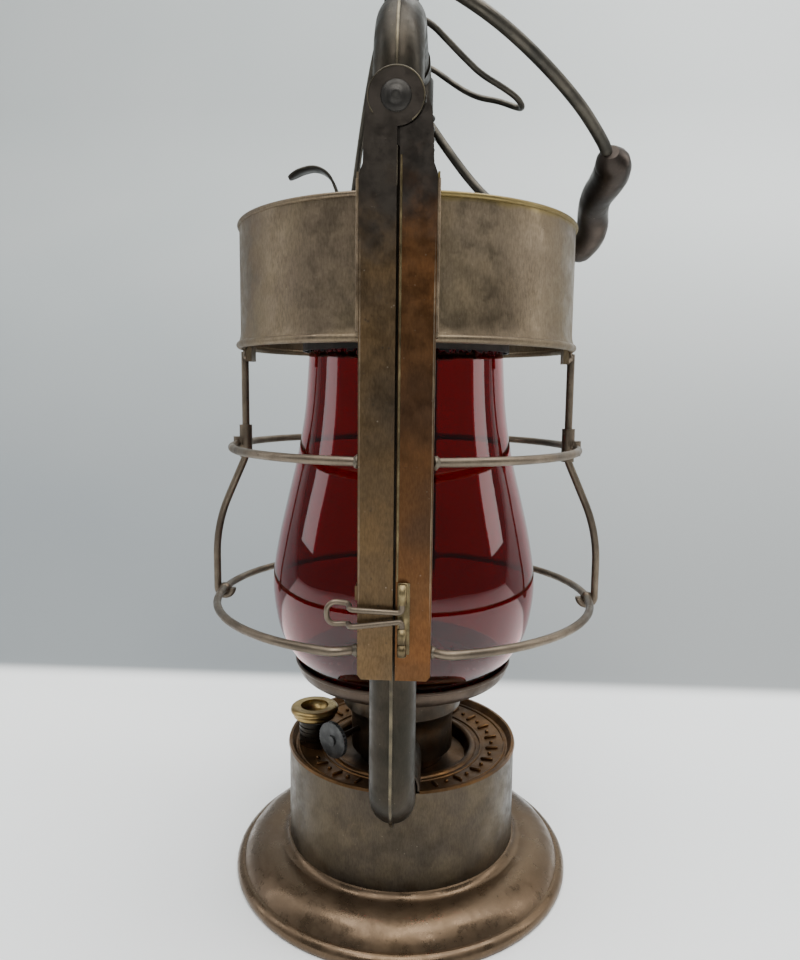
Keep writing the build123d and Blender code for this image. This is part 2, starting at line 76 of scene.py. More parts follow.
def make_camera():
    data = bpy.data.cameras.new("camera")
    data.sensor_fit = "HORIZONTAL"
    data.sensor_width = 36.0
    data.lens = CAMERA_LENS
    data.clip_start = 0.01
    data.clip_end = 20.0
    cy, sy = math.cos(CAMERA_YAW), math.sin(CAMERA_YAW)
    cp, sp = math.cos(CAMERA_PITCH), math.sin(CAMERA_PITCH)
    forward = Vector((-sy * cp, cy * cp, -sp))
    flat_right = Vector((cy, sy, 0.0))
    flat_up = flat_right.cross(forward)
    right = flat_right * math.cos(CAMERA_ROLL) + flat_up * math.sin(CAMERA_ROLL)
    up = flat_up * math.cos(CAMERA_ROLL) - flat_right * math.sin(CAMERA_ROLL)
    camera = bpy.data.objects.new("camera", data)
    turn = Matrix((right, up, -forward)).transposed().to_4x4()
    camera.matrix_world = Matrix.Translation(CAMERA_AT) @ turn
    bpy.context.collection.objects.link(camera)
    bpy.context.scene.camera = camera


def make_stage():
    """Floor, slope and wall in one sheet with soft bends between them.

    The slope lies below a camera that looks from behind, so that every view sees the lantern.
    """
    runs = [(STAGE_FRONT + SLOPE_Y - FOOT_BEND, 0)]
    runs += [(FOOT_STEP, turn) for turn in range(4, SLOPE_ANGLE, 4)]
    runs += [(SLOPE_LENGTH, SLOPE_ANGLE)]
    runs += [(TOP_STEP, turn) for turn in range(SLOPE_ANGLE + 10, 90, 10)]
    runs += [(WALL_LENGTH, 90)]
    profile = [(-STAGE_FRONT, 0.0)]
    for length, turn in runs:
        y, z = profile[-1]
        angle = math.radians(turn)
        profile.append((y + length * math.cos(angle), z + length * math.sin(angle)))
    mesh = bpy.data.meshes.new("stage")
    verts = [(x, y, z) for y, z in profile for x in (-STAGE_HALF, STAGE_HALF)]
    faces = [(2 * i, 2 * i + 1, 2 * i + 3, 2 * i + 2) for i in range(len(profile) - 1)]
    mesh.from_pydata(verts, [], faces)
    mesh.polygons.foreach_set("use_smooth", [True] * len(faces))
    stage = bpy.data.objects.new("stage", mesh)
    bpy.context.collection.objects.link(stage)
    stage.data.materials.append(stage_material())


def area_light(name, place, target, size, power, colour=(1, 1, 1)):
    data = bpy.data.lights.new(name, "AREA")
    data.shape = "RECTANGLE"
    data.size, data.size_y = size
    data.energy = power
    data.color = colour
    light = bpy.data.objects.new(name, data)
    light.location = place
    aim = Vector(target) - Vector(place)
    light.rotation_euler = aim.to_track_quat("-Z", "Y").to_euler()
    bpy.context.collection.objects.link(light)


def make_lights():
    area_light("top_soft", (0.1, -0.12, 1.5), (0, 0, 0.0), (1.7, 1.3), 41, (1.0, 1.0, 0.98))
    area_light("left_soft", (-1.2, 0.0, 0.75), (0, 0, 0.2), (0.45, 1.2), 4.7, (0.96, 0.98, 1.0))
    area_light("right_soft", (1.2, 0.05, 0.80), (0, 0, 0.2), (0.45, 1.2), 6.3, (1.0, 0.99, 0.97))
    area_light("front_left", (-0.28, -0.75, 0.95), (0, 0, 0.1), (0.22, 0.22), 1.6)
    area_light("front_right", (0.30, -0.75, 0.95), (0, 0, 0.1), (0.22, 0.22), 1.6)
    world = bpy.data.worlds.new("room")
    world.use_nodes = True
    background = world.node_tree.nodes["Background"]
    background.inputs["Color"].default_value = (0.82, 0.87, 0.90, 1)
    background.inputs["Strength"].default_value = 0.22
    bpy.context.scene.world = world


# ---- material kit -------------------------------------------------------------------------------
class Shader:
    """Short calls for a node tree that ends in one Principled shader."""

    def __init__(self, name):
        self.material = bpy.data.materials.new(name)
        self.material.use_nodes = True
        self.tree = self.material.node_tree
        self.nodes = self.tree.nodes
        self.main = self.nodes["Principled BSDF"]
        self.place = self.nodes.new("ShaderNodeTexCoord").outputs["Object"]

    def link(self, source, target):
        self.tree.links.new(source, target)

    def put(self, socket, value):
        if isinstance(value, (int, float, tuple)):
            socket.default_value = value
        else:
            self.link(value, socket)

    def spot(self, scale, shift):
        """The object's coordinates, stretched and shifted."""
        node = self.nodes.new("ShaderNodeMapping")
        node.inputs["Scale"].default_value = scale
        node.inputs["Location"].default_value = shift
        self.link(self.place, node.inputs["Vector"])
        return node.outputs["Vector"]

    def cloud(self, scale, detail=3.0, rough=0.55, stretch=(1, 1, 1), shift=(0, 0, 0)):
        node = self.nodes.new("ShaderNodeTexNoise")
        node.inputs["Scale"].default_value = scale
        node.inputs["Detail"].default_value = detail
        node.inputs["Roughness"].default_value = rough
        self.link(self.spot(stretch, shift), node.inputs["Vector"])
        return node.outputs["Fac"]

    def cells(self, scale, shift=(0, 0, 0)):
        node = self.nodes.new("ShaderNodeTexVoronoi")
        node.inputs["Scale"].default_value = scale
        self.link(self.spot((1, 1, 1), shift), node.inputs["Vector"])
        return node.outputs["Distance"]

    def axis(self, name):
        node = self.nodes.new("ShaderNodeSeparateXYZ")
        self.link(self.place, node.inputs["Vector"])
        return node.outputs[name]

    def calc(self, operation, a, b):
        node = self.nodes.new("ShaderNodeMath")
        node.operation = operation
        self.put(node.inputs[0], a)
        self.put(node.inputs[1], b)
        return node.outputs[0]

    def ramp(self, value, low, high, to_low=0.0, to_high=1.0):
        """Smooth step of value from low..high to to_low..to_high."""
        node = self.nodes.new("ShaderNodeMapRange")
        node.interpolation_type = "SMOOTHSTEP"
        for name, number in (("From Min", low), ("From Max", high), ("To Min", to_low),
                             ("To Max", to_high)):
            node.inputs[name].default_value = number
        self.link(value, node.inputs["Value"])
        return node.outputs["Result"]

    def mix(self, amount, a, b, blend="MIX"):
        node = self.nodes.new("ShaderNodeMix")
        node.data_type = "RGBA"
        node.blend_type = blend
        self.put(node.inputs[0], amount)
        for socket, colour in ((node.inputs[6], a), (node.inputs[7], b)):
            self.put(socket, (*colour, 1.0) if isinstance(colour, tuple) else colour)
        return node.outputs[2]

    def bump(self, height, strength, distance):
        node = self.nodes.new("ShaderNodeBump")
        node.inputs["Strength"].default_value = strength
        node.inputs["Distance"].default_value = distance
        self.link(height, node.inputs["Height"])
        self.link(node.outputs["Normal"], self.main.inputs["Normal"])

    def set(self, **values):
        for name, value in values.items():
            self.put(self.main.inputs[name.replace("_", " ")], value)


def stage_material():
    """Pale paper: a bright floor, and a slope painted darker as painted shade, with painted light
    that brightens it upwards and to the right.
    """
    kit = Shader("stage_paper")
    tone = kit.ramp(kit.cloud(3.0, 2.0), 0.3, 0.7)
    floor = kit.mix(tone, (0.93, 0.95, 0.96), (0.96, 0.97, 0.97))
    # Painted shade: the slope is dark at its foot, a little less dark to the right.
    low_wall = kit.mix(tone, (0.215, 0.235, 0.25), (0.235, 0.255, 0.265))
    low_wall = kit.mix(kit.ramp(kit.axis("X"), -0.1, 0.25), low_wall, (0.29, 0.305, 0.31))
    # Painted light: higher up, the slope turns brighter, most of all to the right.
    wall = kit.mix(tone, (0.45, 0.485, 0.485), (0.48, 0.505, 0.505))
    wall = kit.mix(kit.ramp(kit.axis("X"), -0.2, 0.7, 0.0, 0.9), wall, (0.78, 0.81, 0.81))
    wall = kit.mix(kit.ramp(kit.axis("Z"), 0.02, 0.60), low_wall, wall)
    kit.set(Base_Color=kit.mix(kit.ramp(kit.axis("Z"), 0.0, 0.006), floor, wall), Roughness=0.85)
    return kit.material


def worn_metal(name, dull, dark, warm, rough=0.42, metallic=0.9, streak=0.35, speck=0.5,
               blotch=60.0, dent=0.0, edge=None):
    """Tarnished sheet metal: cloudy tone, upright streaks, pale specks and dark pits.

    edge is (low z, high z, colour): metres over which the metal turns to another colour.
    """
    kit = Shader(name)
    clouds = kit.ramp(kit.cloud(blotch, 4.0, 0.6), 0.36, 0.66)
    patches = kit.ramp(kit.cloud(blotch * 0.45, 3.0, 0.5, shift=(0.3, 0.1, 0.7)), 0.45, 0.68)
    colour = kit.mix(clouds, dull, warm)
    colour = kit.mix(kit.calc("MULTIPLY", patches, 0.75), colour, dark)
    grain = kit.cloud(1500.0, 2.0, 0.7, stretch=(1, 1, 0.3))
    grain = kit.ramp(grain, 0.3, 0.7, 1.0 - streak, 1.0 + streak * 0.5)
    colour = kit.mix(1.0, colour, grain, "MULTIPLY")
    pits = kit.ramp(kit.cells(430.0), 0.10, 0.26, 1.0, 0.0)
    where = kit.ramp(kit.cloud(160.0, 2.0, shift=(0.9, 0, 0)), 0.50, 0.66)
    pits = kit.calc("MULTIPLY", pits, where)
    colour = kit.mix(kit.calc("MULTIPLY", pits, 0.8 * speck), colour, dark)
    dots = kit.ramp(kit.cells(400.0, (0.4, 0.2, 0.1)), 0.06, 0.15, 1.0, 0.0)
    some = kit.ramp(kit.cloud(210.0, 1.0, shift=(0.2, 0.5, 0.3)), 0.56, 0.64)
    dots = kit.calc("MULTIPLY", dots, some)
    colour = kit.mix(kit.calc("MULTIPLY", dots, 0.6 * speck), colour, (0.36, 0.30, 0.23))
    if edge:
        low, high, bright = edge
        band = kit.ramp(kit.axis("Z"), min(low, high), max(low, high))
        if low > high:
            band = kit.calc("SUBTRACT", 1.0, band)
        mottle = kit.calc("MULTIPLY", kit.cloud(90.0, 4.0), 0.8)
        band = kit.ramp(kit.calc("ADD", band, mottle), 0.65, 1.2)
        colour = kit.mix(band, colour, bright)
    shine = kit.ramp(kit.cloud(120.0, 4.0, 0.65, shift=(0.1, 0.8, 0.2)), 0.3, 0.7,
                     rough - 0.10, rough + 0.14)
    kit.set(Base_Color=colour, Metallic=metallic, Roughness=shine)
    lumps = kit.calc("ADD", kit.cloud(350.0, 3.0, 0.6), kit.calc("MULTIPLY", dots, 0.6))
    if dent:
        waves = kit.calc("MULTIPLY", kit.cloud(26.0, 1.5, 0.4, shift=(0.5, 0.5, 0)), dent)
        lumps = kit.calc("ADD", lumps, waves)
    kit.bump(kit.calc("SUBTRACT", lumps, kit.calc("MULTIPLY", pits, 0.5)), 0.35, 0.00012)
    return kit.material


def ruby_glass():
    """Deep red glass, sooted black along its ragged top edge where it meets the dome."""
    kit = Shader("ruby_glass")
    ragged = kit.calc("MULTIPLY", kit.cloud(260.0, 3.0, 0.7), 0.014)
    soot = kit.ramp(kit.calc("ADD", kit.axis("Z"), ragged), 0.2490, 0.2500)
    haze = kit.ramp(kit.cloud(40.0, 3.0), 0.45, 0.75, 0.0, 0.05)
    kit.set(Base_Color=kit.mix(soot, (0.34, 0.006, 0.018), (0.006, 0.004, 0.004)))
    kit.set(Roughness=kit.calc("ADD", haze, kit.calc("MULTIPLY", soot, 0.5)))
    kit.set(Transmission_Weight=kit.calc("SUBTRACT", 1.0, soot), IOR=1.45,
            Specular_IOR_Level=0.35)
    return kit.material


def milled_steel():
    """Dull grey steel of the wick raiser's knob."""
    kit = Shader("milled_steel")
    tone = kit.mix(kit.ramp(kit.cloud(260.0, 3.0), 0.35, 0.7), (0.055, 0.055, 0.055),
                   (0.10, 0.10, 0.098))
    kit.set(Base_Color=tone, Metallic=0.7, Roughness=0.5)
    kit.bump(kit.cloud(700.0, 3.0), 0.3, 0.0001)
    return kit.material


def cotton():
    """Woven wick, burnt at its upper end."""
    kit = Shader("wick_cotton")
    weave = kit.nodes.new("ShaderNodeTexWave")
    weave.inputs["Scale"].default_value = 900.0
    kit.link(kit.place, weave.inputs["Vector"])
    burnt = kit.ramp(kit.axis("Z"), 0.096, 0.104)
    colour = kit.mix(burnt, (0.58, 0.52, 0.42), (0.03, 0.025, 0.02))
    kit.set(Base_Color=colour, Roughness=0.95)
    kit.bump(weave.outputs["Fac"], 0.5, 0.0002)
    return kit.material


def plain_rubber():
    """Nearly black gasket under the filler cap."""
    kit = Shader("gasket_rubber")
    tone = kit.mix(kit.cloud(300.0), (0.03, 0.028, 0.026), (0.06, 0.055, 0.05))
    kit.set(Base_Color=tone, Roughness=0.8)
    return kit.material


HOOD_DARK, HOOD_WARM = (0.095, 0.07, 0.048), (0.19, 0.145, 0.09)
HOOD_LEFT = worn_metal("hood_tin", (0.165, 0.125, 0.085), HOOD_DARK, HOOD_WARM,
                       rough=0.47, streak=0.22, speck=0.45, blotch=35.0, dent=6.0)
HOOD_RIGHT = worn_metal("hood_tin_brassy", (0.20, 0.155, 0.105), HOOD_DARK, HOOD_WARM,
                        rough=0.45, streak=0.22, speck=0.45, blotch=35.0, dent=6.0,
                        edge=(0.2900, 0.2960, (0.20, 0.15, 0.06)))
FOOT = worn_metal("foot_tin", (0.115, 0.077, 0.047), (0.072, 0.050, 0.033), (0.135, 0.088, 0.050),
                  rough=0.31, metallic=0.8, streak=0.08, speck=0.35, blotch=22.0)
FOUNT = worn_metal("fount_tin", (0.064, 0.050, 0.036), (0.034, 0.028, 0.022),
                   (0.092, 0.070, 0.044), rough=0.40, streak=0.16, speck=0.3, blotch=40.0,
                   dent=4.0)
FOUNT_TOP = worn_metal("fount_top_tin", (0.115, 0.062, 0.028), (0.035, 0.025, 0.018),
                       (0.18, 0.088, 0.03), rough=0.40, streak=0.1, speck=0.4, blotch=55.0)
CHANNEL_LEFT = worn_metal("channel_brown", (0.108, 0.070, 0.037), (0.048, 0.038, 0.029),
                          (0.135, 0.084, 0.040), rough=0.42, streak=0.2, speck=0.8, blotch=50.0,
                          dent=2.0, edge=(0.215, 0.335, (0.052, 0.043, 0.035)))
CHANNEL_RIGHT = worn_metal("channel_copper", (0.112, 0.052, 0.021), (0.065, 0.036, 0.021),
                           (0.145, 0.062, 0.022), rough=0.38, streak=0.15, speck=0.4,
                           blotch=50.0, dent=2.0, edge=(0.235, 0.335, (0.050, 0.042, 0.035)))
HEM = worn_metal("channel_hem", (0.21, 0.155, 0.105), (0.10, 0.068, 0.042), (0.27, 0.20, 0.125),
                 rough=0.42, streak=0.2, speck=0.7, blotch=120.0)
TUBE = worn_metal("tube_tin", (0.026, 0.023, 0.017), (0.016, 0.014, 0.011),
                  (0.044, 0.035, 0.025), rough=0.42, streak=0.12, speck=0.3, blotch=45.0,
                  dent=5.0)
SEAM = worn_metal("tube_seam", (0.085, 0.073, 0.052), (0.035, 0.029, 0.022), (0.15, 0.125, 0.08),
                  rough=0.36, streak=0.1, speck=0.5, blotch=140.0)
SOLDER = worn_metal("solder", (0.13, 0.108, 0.082), (0.07, 0.057, 0.043), (0.17, 0.145, 0.11),
                    rough=0.5, streak=0.1, speck=0.9, blotch=200.0)
WIRE = worn_metal("guard_wire", (0.145, 0.115, 0.085), (0.08, 0.063, 0.048),
                  (0.185, 0.145, 0.105), rough=0.45, streak=0.1, speck=0.9, blotch=90.0)
DARK_WIRE = worn_metal("dark_wire", (0.052, 0.048, 0.040), (0.026, 0.024, 0.021),
                       (0.088, 0.078, 0.062), rough=0.42, streak=0.1, speck=0.5, blotch=90.0)
RIVET = worn_metal("rivet_steel", (0.042, 0.039, 0.035), (0.022, 0.02, 0.018),
                   (0.06, 0.055, 0.05), rough=0.48, streak=0.1, speck=0.5, blotch=120.0)
GRIP = worn_metal("grip_tin", (0.056, 0.042, 0.034), (0.028, 0.024, 0.021), (0.085, 0.064, 0.05),
                  rough=0.40, streak=0.1, speck=0.4, blotch=60.0)
SOOT = worn_metal("sooted_tin", (0.022, 0.018, 0.016), (0.010, 0.009, 0.008),
                  (0.045, 0.035, 0.03), rough=0.55, metallic=0.6, streak=0.1, speck=0.2)
PLATE = worn_metal("plate_tin", (0.07, 0.05, 0.037), (0.032, 0.025, 0.02), (0.095, 0.07, 0.052),
                   rough=0.42, streak=0.1, speck=0.4)
BURNER = worn_metal("burner_brass", (0.05, 0.042, 0.032), (0.022, 0.019, 0.016),
                    (0.095, 0.06, 0.034), rough=0.42, streak=0.1, speck=0.4)
BRASS_LEAF = worn_metal("brass_leaf", (0.17, 0.13, 0.066), (0.07, 0.05, 0.028),
                        (0.26, 0.20, 0.10), rough=0.40, streak=0.2, speck=0.5, blotch=180.0)
CAP = worn_metal("cap_brass", (0.36, 0.25, 0.10), (0.20, 0.135, 0.055), (0.46, 0.34, 0.15),
                 rough=0.34, metallic=1.0, streak=0.05, speck=0.25, blotch=120.0)
GLASS = ruby_glass()
KNOB = milled_steel()
COTTON = cotton()
RUBBER = plain_rubber()

FINISHES = {
    "foot_bell": FOOT, "fount_shell": FOUNT, "fount_bottom": FOUNT, "tank_top": SOOT,
    "fount_top": FOUNT_TOP, "air_duct": BURNER, "filler_neck": BURNER, "burner": BURNER,
    "wick_tube": BURNER, "globe_plate": PLATE, "globe_dome": SOOT, "globe": GLASS,
    "tube": TUBE, "crown": TUBE, "draft": TUBE, "dome_spring": DARK_WIRE, "bail_ear": TUBE,
    "hinge_rivet": RIVET, "channel_left": CHANNEL_LEFT, "channel_right": CHANNEL_RIGHT,
    "latch_bracket": BRASS_LEAF, "latch_catch": CHANNEL_LEFT, "latch_wire": WIRE,
    "hood_left": HOOD_LEFT, "hood_right": HOOD_RIGHT,
    "ring": WIRE, "guard_wire": WIRE, "guard_sleeve": WIRE, "lift_wire": DARK_WIRE,
    "thumb_tab": DARK_WIRE, "bail_wire": DARK_WIRE, "bail_grip": GRIP,
    "raiser_knob": KNOB, "raiser": BURNER, "wick": COTTON, "filler_cap": CAP,
    "filler_gasket": RUBBER,
}


def finish_for(node):
    """The finish with the longest name that the node's name starts with."""
    fits = [key for key in FINISHES if node.startswith(key)]
    return FINISHES[max(fits, key=len)]


def dress_cad():
    """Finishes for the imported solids, and the spring that the rising dome presses flat."""
    for name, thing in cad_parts.items():
        thing.data.materials.clear()
        thing.data.materials.append(finish_for(name))
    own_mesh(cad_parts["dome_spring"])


# ---- pieces -------------------------------------------------------------------------------------
# The sign of y on each side, and of x on each hand, as the camera sees the lantern.
SIDES = {"near": -1, "far": 1}
HANDS = {"left": -1, "right": 1}
GUARD_BODY = {"left": "guard_left", "right": "root"}


def add_piece(name, data, finish, body, replaces=None):
    """A new object with its finish, on a body, perhaps in place of a CAD node."""
    thing = bpy.data.objects.new(name, data)
    bpy.context.collection.objects.link(thing)
    data.materials.append(finish)
    if isinstance(data, bpy.types.Mesh):
        data.polygons.foreach_set("use_smooth", [True] * len(data.polygons))
    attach(thing, body)
    if replaces:
        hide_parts(replaces)
    return thing


def turned_mesh(name, profile, steps, wobble=0.0):
    """A closed (r, z) outline in mm turned about Z, with a slight unevenness of the hand."""
    verts = []
    for n in range(steps):
        angle = 2 * math.pi * n / steps
        for r, z in profile:
            place = Vector((r * math.cos(angle), r * math.sin(angle), z)) * MM
            push = 1 + wobble * noise.noise(place * 30) / max(r, 1.0)
            verts.append((place.x * push, place.y * push, place.z))
    count = len(profile)
    faces = []
    for n in range(steps):
        a, b = n * count, (n + 1) % steps * count
        for i in range(count):
            j = (i + 1) % count
            faces.append((a + i, b + i, b + j, a + j))
    mesh = bpy.data.meshes.new(name)
    mesh.from_pydata(verts, [], faces)
    return mesh


def smooth_line(points, per_span=8):
    """Catmull-Rom samples through the points."""
    ends = [points[0]] + list(points) + [points[-1]]
    out = []
    for k in range(1, len(ends) - 2):
        p0, p1, p2, p3 = (Vector(p) for p in ends[k - 1:k + 3])
        for n in range(per_span):
            t = n / per_span
            out.append(0.5 * (2 * p1 + (p2 - p0) * t + (2 * p0 - 5 * p1 + 4 * p2 - p3) * t ** 2
                              + (3 * p1 - p0 - 3 * p2 + p3) * t ** 3))
    out.append(Vector(points[-1]))
    return out


def round_curve(name, points, radius, swell=None, order=3):
    """A round bar along a smooth curve through mm points; swell scales it point by point."""
    data = bpy.data.curves.new(name, "CURVE")
    data.dimensions = "3D"
    data.bevel_depth = radius * MM
    data.bevel_resolution = 6
    data.resolution_u = 16
    data.use_fill_caps = True
    line = data.splines.new("NURBS")
    line.points.add(len(points) - 1)
    line.order_u = order
    line.use_endpoint_u = True
    for n, point in enumerate(points):
        line.points[n].co = (*(Vector(point) * MM), 1.0)
        line.points[n].radius = swell[n] if swell else 1.0
    return data


def blob_mesh(name, size, seed):
    """A lump of solder, size mm from its middle along each axis."""
    form = bmesh.new()
    bmesh.ops.create_icosphere(form, subdivisions=3, radius=1.0)
    for vert in form.verts:
        rough = 1 + 0.22 * noise.noise(vert.co * 1.6 + Vector((seed, 0, 0)))
        vert.co = vert.co * Vector(size) * rough * MM
    mesh = bpy.data.meshes.new(name)
    form.to_mesh(mesh)
    form.free()
    return mesh


def solder(name, place, size, body, seed, finish=SOLDER):
    lump = add_piece(name, blob_mesh(name, size, seed), finish, "root")
    lump.location = Vector(place) * MM
    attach(lump, body)


# Outer radius and height of the globe's wall, from its seat up.
GLOBE_PROFILE = [(43.4, 95.8), (49.6, 103.0), (57.0, 115.0), (60.2, 130.0), (60.5, 143.0),
                 (58.0, 159.0), (53.9, 177.0), (49.4, 196.0), (46.3, 214.0), (44.6, 232.0),
                 (43.6, 250.0), (43.0, 264.0)]
GLOBE_WALL = 2.2


def make_globe():
    """The slightly uneven glass, as one closed wall."""
    outer = [(p.x, p.z) for p in smooth_line([(r, 0, z) for r, z in GLOBE_PROFILE])]
    inner = [(r - GLOBE_WALL, z) for r, z in reversed(outer)]
    mesh = turned_mesh("globe_glass", outer + inner, 160, wobble=0.35)
    add_piece("globe_glass", mesh, GLASS, "root", "globe")


# The bail dropped to the right, from its near ear round to its far ear, and the grip on it.
BAIL_LINE = [(0, -54, 374), (0, -61, 374), (0.5, -67.5, 373.6), (5, -68, 371), (19, -67.6, 363.5),
             (34, -66.6, 354.3), (50, -59.5, 344), (65, -50, 333.2), (74, -41.5, 325.5),
             (80.6, -34, 319), (82.6, -18, 313), (83.4, 0, 308), (83.0, 16, 300.5),
             (79.3, 31, 292.5), (72.5, 42.5, 295), (60.5, 52.5, 304), (46, 59, 318),
             (31, 64, 333), (16, 67, 353), (4, 68, 370), (0.5, 67.5, 373.6), (0, 61, 374),
             (0, 54, 374)]
GRIP_LINE = [(81.0, -35.0, 319.6), (81.6, -32.0, 318.3), (84.2, -27.0, 316.0),
             (83.4, -18.0, 312.6), (81.2, -7.0, 309.6), (82.2, 4.0, 306.4), (84.4, 14.0, 300.6),
             (82.4, 23.0, 296.2), (79.6, 30.5, 293.0), (79.0, 32.0, 292.4)]
GRIP_SWELL = [0.45, 0.86, 1.06, 1.0, 0.93, 0.92, 1.0, 1.02, 0.90, 0.5]
# The near half of the wire that lifts the dome.
LIFT_HALF = [(-25.4, -20, 281.5), (-21.5, -20.4, 309), (-17.5, -21, 337), (-14.0, -21.8, 357),
             (-10.5, -22.2, 371.5), (-2, -22.6, 378.2), (9, -22.2, 374.6), (16.5, -19.5, 368.4),
             (24, -16.5, 362.3), (31, -12.6, 357.6), (39.5, -8.2, 354.6), (46.2, -5.6, 351.2),
             (49.2, -2.0, 349.0)]


def make_handles():
    """Bent wires of the bail and the lift, and the worn grip."""
    wire = round_curve("bail_bent_wire", BAIL_LINE, 2.35)
    add_piece("bail_bent_wire", wire, DARK_WIRE, "bail", "bail_wire")
    grip = round_curve("bail_bent_grip", GRIP_LINE, 7.2, GRIP_SWELL)
    add_piece("bail_bent_grip", grip, GRIP, "bail", "bail_grip")
    far_half = [(x, -y, z) for x, y, z in reversed(LIFT_HALF)]
    lift = round_curve("lift_bent_wire", LIFT_HALF + far_half, 1.3)
    add_piece("lift_bent_wire", lift, DARK_WIRE, "dome", "lift_wire")


def channel_edge(hand_name, side_name):
    """X of the outer side of a channel, and y of its face, in mm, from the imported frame."""
    low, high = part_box(f"channel_{hand_name}_{side_name}")
    x = low.x if hand_name == "left" else high.x
    y = low.y if side_name == "near" else high.y
    return x / MM, y / MM


HEM_R = 0.62


def make_hems():
    """Rolled edges of the channels and the pale folds of the hood's tabs beside them."""
    for side_name, side in SIDES.items():
        for hand_name, hand in HANDS.items():
            x, y = channel_edge(hand_name, side_name)
            body = GUARD_BODY[hand_name]
            heights = (123.5, 160, 200, 240, 270, 297)
            line = [(x - hand * 0.5, y - side * 0.55, z) for z in heights]
            name = f"hem_{hand_name}_{side_name}"
            hem = round_curve(name, line, HEM_R, [0.8, 1, 0.9, 1.0, 0.95, 0.8])
            add_piece(name, hem, HEM, body)
            heights = (246.5, 262, 280, 297.5)
            line = [(x + hand * 0.5, y - side * 0.5, z) for z in heights]
            name = f"tab_fold_{hand_name}_{side_name}"
            fold = round_curve(name, line, HEM_R, [1, 0.9, 1.05, 0.9])
            add_piece(name, fold, HEM, body)


def joined_curves(name, lines, radius):
    """Many bars with tapered ends in one curve."""
    data = bpy.data.curves.new(name, "CURVE")
    data.dimensions = "3D"
    data.bevel_depth = radius * MM
    data.bevel_resolution = 3
    data.use_fill_caps = True
    for line in lines:
        spline = data.splines.new("POLY")
        spline.points.add(len(line) - 1)
        for n, point in enumerate(line):
            spline.points[n].co = (*(Vector(point) * MM), 1.0)
            spline.points[n].radius = 1.0 if 0 < n < len(line) - 1 else 0.55
    return data


# The sloping annulus of the fount's top: its inner radius, its height there, and its slope.
ANNULUS_R, ANNULUS_Z, ANNULUS_SLOPE = 36.0, 56.4, 0.149
RIB_COUNT = 48
# No ribs under the air ducts of the tubes and at the filler.
TUBE_DEGREES, FILLER_DEGREES = (90, 270), 188


def on_fount_top(r, degrees, lift):
    """A point lift mm above the annulus."""
    angle = math.radians(degrees)
    z = ANNULUS_Z + (r - ANNULUS_R) * ANNULUS_SLOPE + lift
    return (r * math.cos(angle), r * math.sin(angle), z)


def make_fount_marks():
    """Plain pressed ornament on the fount: two border rings with short ribs between them."""
    lines = []
    for r in (38.2, 49.4):
        lines.append([on_fount_top(r, d, -0.2) for d in range(0, 361, 5)])
    for n in range(RIB_COUNT):
        degrees = 360 / RIB_COUNT * n
        from_tube = min(abs(degrees - tube) for tube in TUBE_DEGREES)
        if from_tube < 17 or abs(degrees - FILLER_DEGREES) < 16:
            continue
        start, reach = (40.6, 46.4) if n % 2 else (42.4, 44.0)
        lines.append([on_fount_top(start + (reach - start) * t, degrees, 0.35)
                      for t in (0.0, 0.12, 0.5, 0.88, 1.0)])
    add_piece("fount_ribs", joined_curves("fount_ribs", lines, 0.75), FOUNT_TOP, "root")


# The side tubes' centre line, and its bends at the crown and at the fount.
TUBE_Y = 70.6
TUBE_R = 9.0
TUBE_TOP_Z = 361.5
TUBE_BEND_R = 27.0
TUBE_FOOT_Z = 62.5
TUBE_FOOT_BEND_R = 12.0


def seam_line(side, out):
    """The tube's outer edge, out mm from its centre line, from the fount up to the crown."""
    line = []
    for step in range(0, 91, 10):
        angle = math.radians(step)
        y = TUBE_Y - TUBE_FOOT_BEND_R + (TUBE_FOOT_BEND_R + out) * math.sin(angle)
        z = TUBE_FOOT_Z + TUBE_FOOT_BEND_R - (TUBE_FOOT_BEND_R + out) * math.cos(angle)
        line.append((0.0, side * y, z))
    for z in (120, 180, 240, 300):
        line.append((0.12 * math.sin(z), side * (TUBE_Y + out), z))
    for step in range(0, 91, 10):
        angle = math.radians(step)
        y = TUBE_Y - TUBE_BEND_R + (TUBE_BEND_R + out) * math.cos(angle)
        z = TUBE_TOP_Z - TUBE_BEND_R + (TUBE_BEND_R + out) * math.sin(angle)
        line.append((0.0, side * y, z))
    line.append((0.0, side * 17.0, TUBE_TOP_Z + out))
    return line


def make_seams():
    """Folded seams of the side tubes, and the brassy solder line between the channels."""
    for side_name, side in SIDES.items():
        name = f"seam_fold_{side_name}"
        fold = round_curve(name, seam_line(side, TUBE_R + 0.95), 0.72, order=4)
        add_piece(name, fold, SEAM, "root")
        line = [(2.05, side * 82.65, z) for z in (158, 190, 230, 270, 305)]
        name = f"solder_strip_{side_name}"
        strip = round_curve(name, line, 0.5, [0.7, 1.1, 0.8, 1.0, 0.8])
        add_piece(name, strip, BRASS_LEAF, "root")


def make_solder():
    """Lumps where the guard's wires meet its channels and each other."""
    seed = 0
    for hand_name, hand in HANDS.items():
        body = GUARD_BODY[hand_name]
        for side_name, side in SIDES.items():
            x, _ = channel_edge(hand_name, side_name)
            for ring, y, z in (("mid", 77.2, 200.6), ("low", 80.0, 131.1)):
                seed += 1
                solder(f"solder_{ring}_{hand_name}_{side_name}", (x + hand * 0.8, side * y, z),
                       (1.7, 2.5, 2.5), body, seed)
        for label, place, size in (("hook", (hand * 85.8, 0, 131.1), (2.9, 2.7, 2.5)),
                                   ("clamp", (hand * 73.4, 0, 241.8), (2.0, 3.2, 3.4)),
                                   ("sleeve", (hand * 76.0, 0, 200.6), (3.4, 3.0, 3.6))):
            seed += 1
            solder(f"solder_{label}_{hand_name}", place, size, body, seed, WIRE)


KNUCKLE_R = 1.7
KNUCKLES = (130.9, 135.4), (135.7, 141.2), (150.2, 157.6)
LEAF_SIZE = (4.4, 0.55, 26.6)


